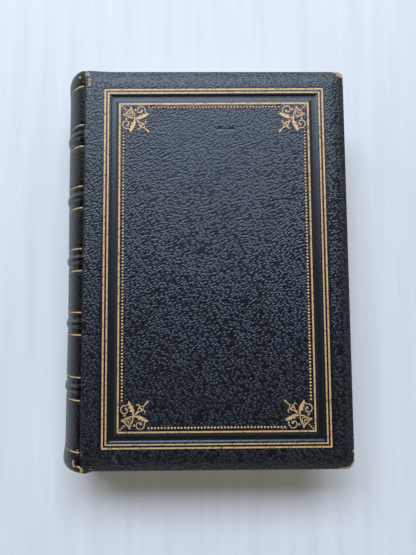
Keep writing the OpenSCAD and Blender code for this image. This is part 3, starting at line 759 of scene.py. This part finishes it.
# %% Places and strengths
RUBBED = [
    (-64.5, 105.4, 0.95, 3.2, 0.92), (-64.0, 99.6, 0.5, 3.2, 0.76), (-65.9, 110.6, 1.3, 2.3, 0.84),
    (-69.8, 108.4, 2.4, 1.9, 0.56), (-62.6, 112.1, 1.0, 0.8, 0.6), (-65.4, 81.6, 0.5, 1.8, 0.56),
    (-65.4, 74.6, 0.5, 1.8, 0.58), (-71.0, -106.4, 0.9, 1.9, 0.84), (-70.2, -108.3, 1.3, 1.0, 0.86),
    (-68.2, -109.0, 1.9, 0.8, 0.88), (-66.4, -111.2, 1.1, 1.8, 0.84), (-71.0, -113.3, 3.4, 1.1, 1.3),
    (-76.6, -112.4, 2.4, 1.0, 1.2), (-60.6, -110.2, 1.6, 0.9, 0.6), (-68.6, -100.4, 0.7, 0.8, 0.7),
    (79.6, 110.2, 2.8, 2.8, 0.96), (76.8, 111.6, 2.2, 1.0, 0.8), (81.2, 105.8, 0.7, 2.2, 0.74),
    (69.0, 112.2, 3.0, 0.6, 0.62), (77.0, -111.6, 4.6, 1.2, 0.94), (80.4, -110.4, 1.9, 1.8, 0.96),
    (81.3, -107.4, 0.8, 2.8, 0.9), (80.9, -102.4, 0.9, 1.2, 0.8), (71.0, -112.3, 3.4, 0.6, 0.66),
]
# scratches whose pale glint is painted in as greyed dye
SCUFF_GLINTS = [(-49.0, -104.4, 0.5, 1.0, 1.3), (-47.7, -106.6, 0.5, 1.0, 1.3), (-66.4, -101.3, 0.5, 1.6, 0.8)]
# painted shade near the joint at head and tail
PAINTED_SHADE_SPOTS = [(-70.2, 105.6, 2.6, 2.0, 0.9), (-71.0, -103.4, 2.4, 1.6, 0.9)]
EDGE_RUB, SPINE_POLISH, SPINE_FADE = 0.3, 0.6, 0.5
# where and how strongly the band edges get a painted highlight
BAND_HIGHLIGHT_AT, BAND_HIGHLIGHT = 1.7, 1.3
# strengths of the painted shade in the joint and beside the bands
JOINT_SHADE, BAND_SHADE = 0.75, 1.25
EDGE_WIDTH = (1.6, 0.2)
TOOL_EASE, TOOL_INSIDE, FILLET_EASE = 0.4, 0.2, 0.5
DENT_SHINE_X, DENT_SHINE_Y, DENT_SHINE_BELOW = 3, 1.0, 0.3
SKIN_DEPTH, FRONT_DEPTH, FACE_DEPTH = 5.4, 11, 1.2
print(len(RUBBED), "rubbed,", len(SCUFF_GLINTS), "scuffed and", len(PAINTED_SHADE_SPOTS), "soiled spots")


# %% Fields of wear
def spotted(x, y, spots):
    """The strongest of the spots at each point."""
    field = np.zeros_like(x)
    for *place, strength in spots:
        field = np.maximum(field, strength * soft_spot(x, y, *place))
    return field


def behind_hinge(x, start, end):
    """Eases from 0 to 1 between two distances behind the hinge line, either way round."""
    return smoothstep(HINGE_X - start, HINGE_X - end, x)


def pressed_places(x, y, z, front):
    """Where the grain is flat: in the tooling and the dents, and on the polished spine."""
    d = inside_frame(x, y)
    low, high, _ = MOULDING
    tooled = smoothstep(low - TOOL_EASE, low + TOOL_INSIDE, d)
    tooled = tooled * smoothstep(high + TOOL_EASE, high - TOOL_INSIDE, d)
    for at, width in FILLETS:
        tooled = np.maximum(tooled, smoothstep(width / 2 + FILLET_EASE, width / 2, np.abs(d - at)))
    dented = np.zeros_like(x)
    for at_x, at_y, _, _ in DENTS:
        across, along_y = (x - at_x) / DENT_SHINE_X, (y - at_y + DENT_SHINE_BELOW) / DENT_SHINE_Y
        dented = dented + np.exp(-across ** 2 - along_y ** 2)
    outer_face = (x > HINGE_X + JOINT_LAND) & (np.abs(z - MID_Z) > MID_Z - FACE_DEPTH)
    polished = behind_hinge(x, 5, 10) * SPINE_POLISH
    return np.maximum(np.maximum(tooled, dented * front) * outer_face, polished)


def fading_and_painted_light(x, y):
    """The spine's fading with painted highlights on the band edges, and painted shade in the joint and beside
    the bands. Distances are behind the hinge line.
    """
    fade_and_highlight = behind_hinge(x, 6, 10.5) * SPINE_FADE
    # painted shade in the joint, where the spine's shoulder turns from the light
    shade_field = behind_hinge(x, 6.5, 3.5) * behind_hinge(x, -0.5, 1) * JOINT_SHADE
    beside_joint = behind_hinge(x, 7.5, 5.5) * behind_hinge(x, -0.3, 1)
    behind_joint = behind_hinge(x, 1.5, 3.5)
    for band in BANDS_Y:
        d = np.abs(y - band)
        # a painted highlight along the edges of each band
        fade_and_highlight = np.maximum(fade_and_highlight, np.exp(-((d - BAND_HIGHLIGHT_AT) / 0.4) ** 2) * behind_joint * BAND_HIGHLIGHT)
        # painted shade on the band and in the hollows beside it, near the joint
        shaded_hollows = np.maximum(np.exp(-((d - BLIND_AT) / 1.3) ** 2), np.exp(-(d / 0.9) ** 2))
        shade_field = np.maximum(shade_field, beside_joint * BAND_SHADE * shaded_hollows)
    return fade_and_highlight, shade_field


# %% Paint the attributes
def set_attribute(piece, name, values):
    attribute = piece.data.attributes.new(name, "FLOAT", "POINT")
    attribute.data.foreach_set("value", np.asarray(values, np.float32))


def paint(piece, worn=(), scuff_glints=(), painted_shade=()):
    x, y, z = points_mm(piece).T
    outside = (x > HINGE_X) | (np.hypot(x - SPINE_X, z - MID_Z) > SPINE_R - SKIN_DEPTH)
    front = outside & (z > BOOK_T - FRONT_DEPTH)
    edge_rub = EDGE_RUB * smoothstep(*EDGE_WIDTH, np.minimum(FORE_X - x, HALF_H - np.abs(y)))
    fade_and_highlight, shade_field = fading_and_painted_light(x, y)
    painted = {
        "pressed": pressed_places(x, y, z, front),
        "worn": np.maximum(edge_rub, spotted(x, y, worn) * front),
        # greyed where the spine lost its colour, with painted highlights and glints
        "fade_and_highlight": np.maximum(fade_and_highlight, spotted(x, y, scuff_glints) * front),
        # painted shade in the joint and beside the bands
        "painted_shade": np.maximum(shade_field, spotted(x, y, painted_shade) * front),
    }
    for name, values in painted.items():
        set_attribute(piece, name, values)
    print(piece.name, "carries", ", ".join(painted))


paint(skin, RUBBED, SCUFF_GLINTS, PAINTED_SHADE_SPOTS)
paint(rear_skin)

# %% [markdown]
# ## The leather's finish
# Each sheet of leather gets the goatskin, its placing is baked into its mesh, and the CAD leather
# is hidden. On the real joint the fold lies within two millimetres round the hinge line, and the
# board behind it stays flat.

# %% Dress the leather
FOLD_IN, FOLD_OUT, FOLD_LEAN = 0.6, -1.4, 0.25
SHEETS = [(skin, "front_cover", BOOK_T, -FOLD_LEAN), (rear_skin, "rear_cover", 0, FOLD_LEAN)]
for sheet, body, height, lean in SHEETS:
    dress(sheet, goatskin)
    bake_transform(sheet)
    print(sheet.name, "bends between", body, "and block")
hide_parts("front_cover_leather", "spine_leather")
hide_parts("rear_cover_leather")

# %% [markdown]
# ## Gilt lines across the spine
# A pallet tool rolls each line over the spine in one go, so a line is a thin strip that lies in
# its groove from joint to joint. Each strip uses the leather's own section, a little above the
# bottom of the groove. Hands have rubbed the gold away on the spine's back.

# %% Spine lines
STRIP_HALF, STRIP_LIFT, STRIP_T = 0.3, 0.07, 0.05
STRIP_START, STRIP_END = 0.9, 2
STRIP_WEAR = 0.16
SPINE_LINES = [HEAD_LINE_Y, TAIL_LINE_Y] + [y + side * SPINE_LINE_AT for y in BANDS_Y for side in (-1, 1)]
strip_columns = [k for k in range(len(cover_columns), len(section))
                 if section[k, 0] < HINGE_X - (STRIP_START if section[k, 1] > MID_Z else STRIP_END)]
strips = []
for line in SPINE_LINES:
    strip, column, row = flat_grid("spine_gilt", len(strip_columns), 2)
    i = np.array(strip_columns)[len(strip_columns) - 1 - column]
    (x, z), normal = section[i].T, outward[i]
    y = line + np.where(row == 1, STRIP_HALF, -STRIP_HALF)
    height = spine_height(x, z, y) + STRIP_LIFT
    place_mm(strip, np.stack([x + normal[:, 0] * height, y, z + normal[:, 1] * height], axis=1))
    strips.append(strip)
spine_gilt = join(strips, "spine_gilt")
set_attribute(spine_gilt, "worn", behind_hinge(points_mm(spine_gilt)[:, 0], 4, 11) * STRIP_WEAR)
thicken(spine_gilt, STRIP_T)
smooth(spine_gilt)
dress(spine_gilt, gold)
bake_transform(spine_gilt)
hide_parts("spine_gilt_lines")
print("spine lines:", len(strips))

# %% [markdown]
# ## Pearls
# A roll tool leaves a row of small round beads of gold. One bead is the upper part of a sphere,
# flattened, and it is copied along the four sides between the corner ornaments.

# %% One pearl
PEARL_D, PEARL_H, PEARL_PITCH = 1.2, 0.35, 1.8
deselect()
bpy.ops.mesh.primitive_uv_sphere_add(segments=8, ring_count=6, radius=PEARL_D / 2 * MM)
bead = new_piece("gilt_pearls")
with whole_mesh():
    bpy.ops.mesh.bisect(plane_co=(0, 0, 0), plane_no=(0, 0, 1), clear_inner=True, use_fill=True)
    bpy.ops.mesh.select_all(action="SELECT")
    bpy.ops.transform.resize(value=(1, 1, 2 * PEARL_H / PEARL_D))
print("a pearl has", len(bead.data.polygons), "faces")


# %% The rows of pearls
def bead_run(start, end):
    """Places along one side, even about its middle and clear of the corner ornaments."""
    steps = math.floor((end - start - 2 * (PEARL_ROW + PEARL_CLEAR)) / PEARL_PITCH)
    return [(start + end) / 2 + (n - steps / 2) * PEARL_PITCH for n in range(steps + 1)]


side_rows, side_columns = [(low + PEARL_ROW, high - PEARL_ROW)
                           for low, high in ((FRAME_Y0, FRAME_Y1), (FRAME_X0, FRAME_X1))]
places = [(x, y) for x in bead_run(FRAME_X0, FRAME_X1) for y in side_rows]
places += [(x, y) for y in bead_run(FRAME_Y0, FRAME_Y1) for x in side_columns]
beads = []
for x, y in places:
    copy = bead.copy()
    copy.data = bead.data.copy()
    copy.data.transform(Matrix.Translation(Vector((x, y, BOOK_T - PEARL_TRACK)) * MM))
    bpy.context.scene.collection.objects.link(copy)
    beads.append(copy)
bpy.data.objects.remove(bead)
pearls = join(beads, "gilt_pearls")
smooth(pearls, 60)
dress(pearls, gold)
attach(pearls, "front_cover")
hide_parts("front_gilt_pearls")
print("pearls:", len(beads))

# %% [markdown]
# ## Leaves
# The sewn leaves were rounded and backed, then trimmed, so the fore-edge is hollow by as much as
# the spine is round. A cube is cut into layers, one for each gathering or so, and each layer is
# moved in by a few hundredths of a millimetre more or less, as trimmed leaves settle.

# %% Text block
LAYERS = 46
LEAVES_R = SPINE_X - leaves_low[0]
HOLLOW = 7.0
SETTLE, TRIM = 0.09, 0.1
leaves_half = (leaves_high - leaves_low) / 2
flat_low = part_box("rear_flyleaf")[1].z / MM
flat_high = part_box("front_flyleaf")[0].z / MM
deselect()
bpy.ops.mesh.primitive_cube_add(size=1)
leaves = new_piece("sewn_leaves")
low = np.array([leaves_low[0], leaves_low[1], flat_low])
high = np.array([leaves_high[0], leaves_high[1], flat_high])
place_mm(leaves, (points_mm(leaves) * MM + 0.5) * (high - low) + low)
for n in range(1, LAYERS):
    height = low[2] + (high[2] - low[2]) * n / LAYERS
    with whole_mesh():
        bpy.ops.mesh.bisect(plane_co=(0, 0, height * MM), plane_no=(0, 0, 1))
settle = np.random.RandomState(7).uniform(-SETTLE, SETTLE, (LAYERS + 1, 3))
points = points_mm(leaves)
layer = np.rint((points[:, 2] - low[2]) / (high[2] - low[2]) * LAYERS).astype(int)
rise = points[:, 2] - MID_Z
hollow_r = ((high[2] - low[2]) ** 2 / 4 + HOLLOW ** 2) / (2 * HOLLOW)
fore = high[0] + hollow_r - HOLLOW - np.sqrt(hollow_r ** 2 - rise ** 2) + settle[layer, 0] - TRIM
back = SPINE_X - np.sqrt(LEAVES_R ** 2 - rise ** 2)
points[:, 0] = np.where(points[:, 0] > 0, fore, back)
points[:, 1] += np.sign(points[:, 1]) * (settle[layer, 1] - TRIM)
place_mm(leaves, points)
dress(leaves, leaf_edges)
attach(leaves, "block")
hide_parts("text_block")
print("leaves:", len(leaves.data.polygons), "faces")

# %% [markdown]
# ## The paper across each joint
# Inside, one sheet of paper runs from the board down into the joint and up on to the first leaf.
# While the book is shut it lies folded in the gap, and when a cover opens it swings out flat and
# hides the board's edge. It is a strip laid on the folded section.

# %% Joint papers
FOLD = np.array([(-0.24, 0.15), (-0.25, 1.2), (-0.24, 2.4), (-0.16, 3.1), (-0.03, 3.35), (0.1, 3.1),
                 (0.17, 2.4), (0.18, 1.2), (0.17, 0.15)])
PAPER_T = 0.1


def joint_paper(name, front):
    """One folded strip. The rear one is the front one turned over."""
    strip, column, row = flat_grid(name, len(FOLD), 3)
    across, up = FOLD[column].T
    z = INNER_Z + up if front else BOOK_T - INNER_Z - up
    place_mm(strip, np.stack([HINGE_X + across, (row - 1) * leaves_half[1], z], axis=1))
    thicken(strip, PAPER_T, offset=0)
    smooth(strip, 60)
    dress(strip, endpaper)
    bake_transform(strip)
    print(name, len(strip.data.polygons), "faces")


joint_paper("front_joint_paper", True)
joint_paper("rear_joint_paper", False)

# %% [markdown]
# ## Headbands
# A headband is a core with silk wound round it in two colours, and it hides the gap between leaves
# and spine. A circle is spun round the spine's axis, and every turn of thread is a small swell.

# %% Headbands
CORE_SIDES = 14
THREADS = 64
THREAD_RINGS = 3
THREADS_A_COLOUR = 4
THREAD_HOLLOW = 0.12


def headband(name, node):
    """Winds a headband in the place of its CAD node."""
    low, high = box_mm(node)
    core_r = (high[1] - low[1]) / 2
    middle_y = (high[1] + low[1]) / 2
    turn_r = SPINE_X - low[0] - core_r
    half_sweep = math.asin((high[2] - MID_Z) / (turn_r + core_r))
    deselect()
    bpy.ops.mesh.primitive_circle_add(vertices=CORE_SIDES, radius=core_r * MM, fill_type="NGON",
                                      location=Vector((SPINE_X - turn_r, middle_y, MID_Z)) * MM)
    band = new_piece(name)
    bpy.ops.object.transform_apply(location=True)
    centre = Vector((SPINE_X, middle_y, MID_Z)) * MM
    with whole_mesh():
        bpy.ops.transform.rotate(value=half_sweep, orient_axis="Y", center_override=centre)
        bpy.ops.mesh.spin(steps=THREADS * THREAD_RINGS, angle=-2 * half_sweep, center=centre, axis=(0, 1, 0))
        bpy.ops.mesh.select_all(action="SELECT")
        bpy.ops.mesh.normals_make_consistent(inside=False)

    def threads_to(x, z):
        """How many turns of thread lie below a point of the band."""
        return (np.arctan2(z - MID_Z, SPINE_X - x) + half_sweep) / (2 * half_sweep) * THREADS

    points = points_mm(band)
    turn = np.arctan2(points[:, 2] - MID_Z, SPINE_X - points[:, 0])
    ring = np.stack([SPINE_X - turn_r * np.cos(turn), np.full(len(turn), middle_y),
                     MID_Z + turn_r * np.sin(turn)], axis=1)
    bulge = np.abs(np.sin(math.pi * threads_to(points[:, 0], points[:, 2])))
    swell = 1 - THREAD_HOLLOW + THREAD_HOLLOW * bulge
    place_mm(band, ring + (points - ring) * swell[:, None])
    band.data.materials.append(silk_dark)
    band.data.materials.append(silk_light)
    for polygon in band.data.polygons:
        x, _, z = polygon.center / MM
        polygon.material_index = int(threads_to(x, z) // THREADS_A_COLOUR) % 2
    smooth(band, 60)
    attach(band, "block")
    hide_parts(node)
    print(name, "spans", np.round(points_mm(band).min(0), 1), np.round(points_mm(band).max(0), 1))


headband("head_silk_band", "head_headband")
headband("tail_silk_band", "tail_headband")

# %% [markdown]
# ## Materials for the nodes that stay
# The fillets, fleurons, boards, endpapers, cloth and cords already have their real shapes in the
# frame. They keep their meshes and get their finish.

# %% Dress the CAD nodes
finishes = {
    gold: ["front_outer_fillet", "front_second_fillet", "front_inner_fillet", "front_gilt_fleurons",
           "rear_outer_fillet", "rear_second_fillet", "rear_inner_fillet"],
    endpaper: ["front_flyleaf", "rear_flyleaf", "front_pastedown", "rear_pastedown", "spine_hollow"],
    millboard: ["front_board", "rear_board"] + [f"raised_band_{n + 1}" for n in range(BAND_COUNT)],
    cotton: ["spine_mull", "head_cap_cord", "tail_cap_cord"],
}
for material, nodes in finishes.items():
    for node in nodes:
        dress(frame["nodes"][node], material)
    print(material.name, "on", len(nodes), "nodes")

# %% [markdown]
# ## Table
# The book lies on a painted white table. Brush strokes run along it, so the noise that tints the
# paint is drawn out in one direction.

# %% Table
STROKE_MM = 9


def make_table():
    m = new_material("painted_table")
    where = add(m, "TexCoord").outputs["Object"]
    brushed = add(m, "Mapping", {"Vector": where, "Scale": (1.0, 0.06, 1.0)})
    streak = add(m, "TexNoise", {"Vector": brushed.outputs[0], "Scale": per_mm(STROKE_MM), "Detail": 5.0})
    tone = add(m, "ValToRGB", {"Fac": streak.outputs["Fac"]}, stops=[(0.3, "#d6dade"), (0.7, "#dfe3e6")])
    return finish_material(m, Base_Color=tone.outputs[0], Roughness=0.6)


deselect()
bpy.ops.mesh.primitive_plane_add(size=4)
table = new_piece("table")
dress(table, make_table())
print("table:", [round(side, 2) for side in table.dimensions], "m")

# %% [markdown]
# ## Light
# Cool daylight comes from a window beyond the head of the book. The window is one large area
# light, so the shadow at the tail is soft. The world stands for what the room throws back: pale
# walls that are brighter to one side and at the head, and a ceiling that darkens straight above,
# which keeps the dark leather dark. Three ramps, one along each axis, are multiplied for that.

# %% Light
ROOM = {"X": (0.2, 0.8, 1.0, 0.6), "Y": (-0.5, 0.3, 0.8, 1.02), "Z": (0.42, 0.82, 0.93, 0.05)}
WINDOW_AT, WINDOW_AIM = Vector((-0.35, 2.7, 2.9)), Vector((0, 0, 0.02))
WINDOW_SIZE, WINDOW_WATTS = (4.3, 1.5), 234
world = bpy.data.worlds.new("daylight")
bpy.context.scene.world = world
world.use_nodes = True
sky = world.node_tree.nodes["Background"]
sky.inputs["Color"].default_value = colour("#f2ebe0")
towards = add(world, "SeparateXYZ", {0: add(world, "TexCoord").outputs["Generated"]})
brightness = 1.0
for axis, (start, end, from_start, from_end) in ROOM.items():
    fade = add(world, "MapRange", {"Value": towards.outputs[axis], "From Min": start, "From Max": end,
                                   "To Min": from_start, "To Max": from_end})
    brightness = add(world, "Math", {0: brightness, 1: fade.outputs[0]}, operation="MULTIPLY").outputs[0]
world.node_tree.links.new(brightness, sky.inputs["Strength"])

window_light = bpy.data.lights.new("window", "AREA")
window_light.shape = "RECTANGLE"
window_light.size, window_light.size_y = WINDOW_SIZE
window_light.energy, window_light.color = WINDOW_WATTS, colour("#deeafc")[:3]
window = bpy.data.objects.new("window", window_light)
bpy.context.scene.collection.objects.link(window)
window.location = WINDOW_AT
window.rotation_euler = (WINDOW_AIM - WINDOW_AT).to_track_quat("-Z", "Y").to_euler()
print(f"window: {WINDOW_SIZE[0]} x {WINDOW_SIZE[1]} m, {(WINDOW_AT - WINDOW_AIM).length:.1f} m away")

# %% [markdown]
# ## Camera
# The camera is where the photograph was taken: nearly overhead, a little towards the tail. Its
# place and angles were worked out from the straight, square lines of the tooled frame.

# %% Camera
SENSOR_MM, LENS_MM = 36, 27.05
CAMERA_AT, CAMERA_TURNS = (0.00118, -0.02332, 0.2705), (3.96, -0.31, -0.41)
camera_data = bpy.data.cameras.new("camera")
camera_data.sensor_width, camera_data.lens = SENSOR_MM, LENS_MM
camera = bpy.data.objects.new("camera", camera_data)
bpy.context.scene.collection.objects.link(camera)
camera.location = CAMERA_AT
camera.rotation_mode = "ZYX"
camera.rotation_euler = [math.radians(turn) for turn in CAMERA_TURNS]
bpy.context.scene.camera = camera
bpy.context.scene.view_settings.view_transform = "Standard"
print(f"camera: {camera_data.lens:.2f} mm lens, {camera.location.z * 1000:.0f} mm above the table")

# %% The end
bpy.context.view_layer.update()
